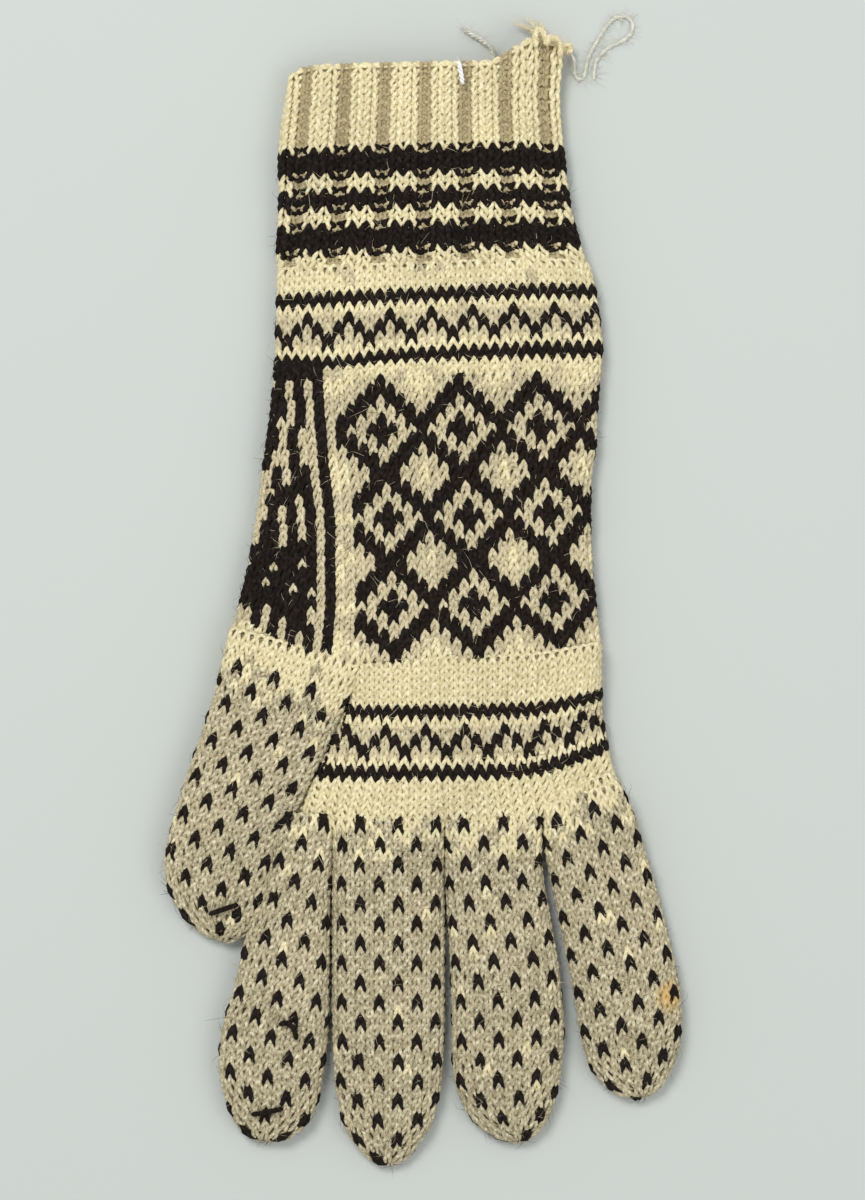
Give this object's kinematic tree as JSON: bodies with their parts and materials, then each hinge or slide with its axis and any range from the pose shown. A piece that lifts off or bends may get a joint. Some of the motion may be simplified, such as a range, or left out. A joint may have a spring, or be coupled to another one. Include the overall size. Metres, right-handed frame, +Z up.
{
  "type": "knitted glove",
  "caption": "Hand-knitted five-finger glove in cream and brown wool, with a ribbed cuff, a diamond-patterned hand, a striped thumb gusset and speckled fingers.",
  "frame": {"origin": "on the floor under the middle of the glove, which lies flat", "axes": "+Y towards the cuff, +X towards the little finger, +Z up from the floor"},
  "size_m": [0.1361, 0.3012, 0.0151],
  "materials": {
    "cream_wool": "soft wool yarn, matt",
    "patterned_wool": "cream and brown wool yarn, matt",
    "brown_wool": "dark brown wool yarn, matt",
    "white_thread": "bright white cotton thread",
    "tie_wool": "off-white fuzzy wool yarn"
  },
  "bodies": {
    "hand": {"wrist_band": "cream_wool", "upper_zigzag_band": "patterned_wool", "diamond_panel": "patterned_wool", "thumb_gusset": "patterned_wool", "palm_band": "cream_wool", "lower_zigzag_band": "patterned_wool", "knuckle_band": "cream_wool", "index_root": "cream_wool", "middle_root": "cream_wool", "ring_root": "cream_wool", "little_root": "cream_wool", "thumb_root": "cream_wool"},
    "cuff": {"cast_on_edge": "cream_wool", "cuff_rib": "cream_wool", "striped_rib": "patterned_wool", "marker_thread": "white_thread", "tie_knot": "tie_wool", "tie_yarn": "tie_wool"},
    "index_middle": {"index_middle_part": "cream_wool"},
    "index_end": {"index_end_part": "cream_wool", "index_tip": "cream_wool", "index_tip_yarn": "brown_wool"},
    "middle_middle": {"middle_middle_part": "cream_wool"},
    "middle_end": {"middle_end_part": "cream_wool", "middle_tip": "cream_wool"},
    "ring_middle": {"ring_middle_part": "cream_wool"},
    "ring_end": {"ring_end_part": "cream_wool", "ring_tip": "cream_wool"},
    "little_middle": {"little_middle_part": "cream_wool"},
    "little_end": {"little_end_part": "cream_wool", "little_tip": "cream_wool"},
    "thumb_middle": {"thumb_middle_part": "cream_wool"},
    "thumb_end": {"thumb_end_part": "cream_wool", "thumb_tip": "cream_wool", "thumb_tip_yarn": "brown_wool"}
  },
  "joints": [
    {"name": "cuff_fold", "type": "hinge", "parent": "hand", "child": "cuff", "pos_m": [0.00175, 0.0935, 0.006], "axis": [1, 0, 0], "range_deg": [0, 75]},
    {"name": "index_fold", "type": "hinge", "parent": "hand", "child": "index_middle", "pos_m": [-0.03565, -0.09, 0.0055], "axis": [-1, 0, 0], "range_deg": [0, 75]},
    {"name": "index_bend", "type": "hinge", "parent": "index_middle", "child": "index_end", "pos_m": [-0.0391, -0.114, 0.0055], "axis": [-1, 0, 0], "range_deg": [0, 75]},
    {"name": "middle_fold", "type": "hinge", "parent": "hand", "child": "middle_middle", "pos_m": [-0.00925, -0.09, 0.0055], "axis": [-1, 0, 0], "range_deg": [0, 75]},
    {"name": "middle_bend", "type": "hinge", "parent": "middle_middle", "child": "middle_end", "pos_m": [-0.0093, -0.117, 0.0055], "axis": [-1, 0, 0], "range_deg": [0, 75]},
    {"name": "ring_fold", "type": "hinge", "parent": "hand", "child": "ring_middle", "pos_m": [0.02065, -0.09, 0.0055], "axis": [-1, 0, 0], "range_deg": [0, 75]},
    {"name": "ring_bend", "type": "hinge", "parent": "ring_middle", "child": "ring_end", "pos_m": [0.022, -0.115, 0.0055], "axis": [-1, 0, 0], "range_deg": [0, 75]},
    {"name": "little_fold", "type": "hinge", "parent": "hand", "child": "little_middle", "pos_m": [0.04935, -0.084, 0.0055], "axis": [-1, 0, 0], "range_deg": [0, 75]},
    {"name": "little_bend", "type": "hinge", "parent": "little_middle", "child": "little_end", "pos_m": [0.0541, -0.106, 0.0055], "axis": [-1, 0, 0], "range_deg": [0, 75]},
    {"name": "thumb_fold", "type": "hinge", "parent": "hand", "child": "thumb_middle", "pos_m": [-0.0394, -0.027, 0.0055], "axis": [-0.9455, 0.3256, 0], "range_deg": [0, 75]},
    {"name": "thumb_bend", "type": "hinge", "parent": "thumb_middle", "child": "thumb_end", "pos_m": [-0.0507, -0.055, 0.0055], "axis": [-0.9455, 0.3256, 0], "range_deg": [0, 75]}
  ]
}
